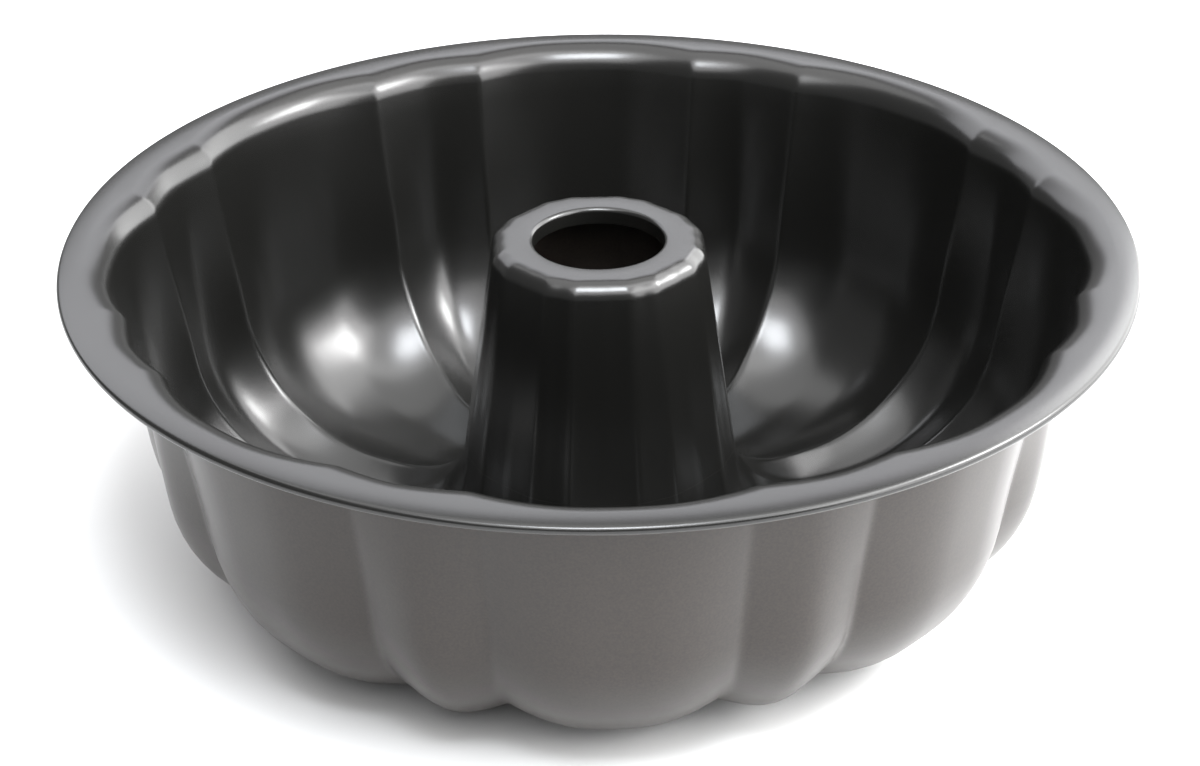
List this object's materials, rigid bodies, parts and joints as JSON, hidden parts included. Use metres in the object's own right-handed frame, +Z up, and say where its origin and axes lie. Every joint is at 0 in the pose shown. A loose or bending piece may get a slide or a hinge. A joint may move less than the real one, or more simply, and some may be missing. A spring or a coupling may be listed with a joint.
{
  "type": "fluted tube cake pan",
  "caption": "Round cake pan with a fluted wall and floor, a tapered open centre tube, a flat flange and a wired, rolled rim.",
  "frame": {"origin": "on the tube's axis, in the plane that the feet stand on", "axes": "+Z up along the tube's axis, -Y through the middle of a wide flute"},
  "size_m": [0.26, 0.26, 0.086],
  "materials": {
    "shell_coating": "non-stick coating, satin outside and glossy inside",
    "tube_coating": "glossy non-stick coating",
    "rim_steel": "drawn wire, bare"
  },
  "bodies": {
    "root": {"fluted_shell": "shell_coating", "centre_tube": "tube_coating", "rim_wire": "rim_steel"}
  },
  "joints": []
}
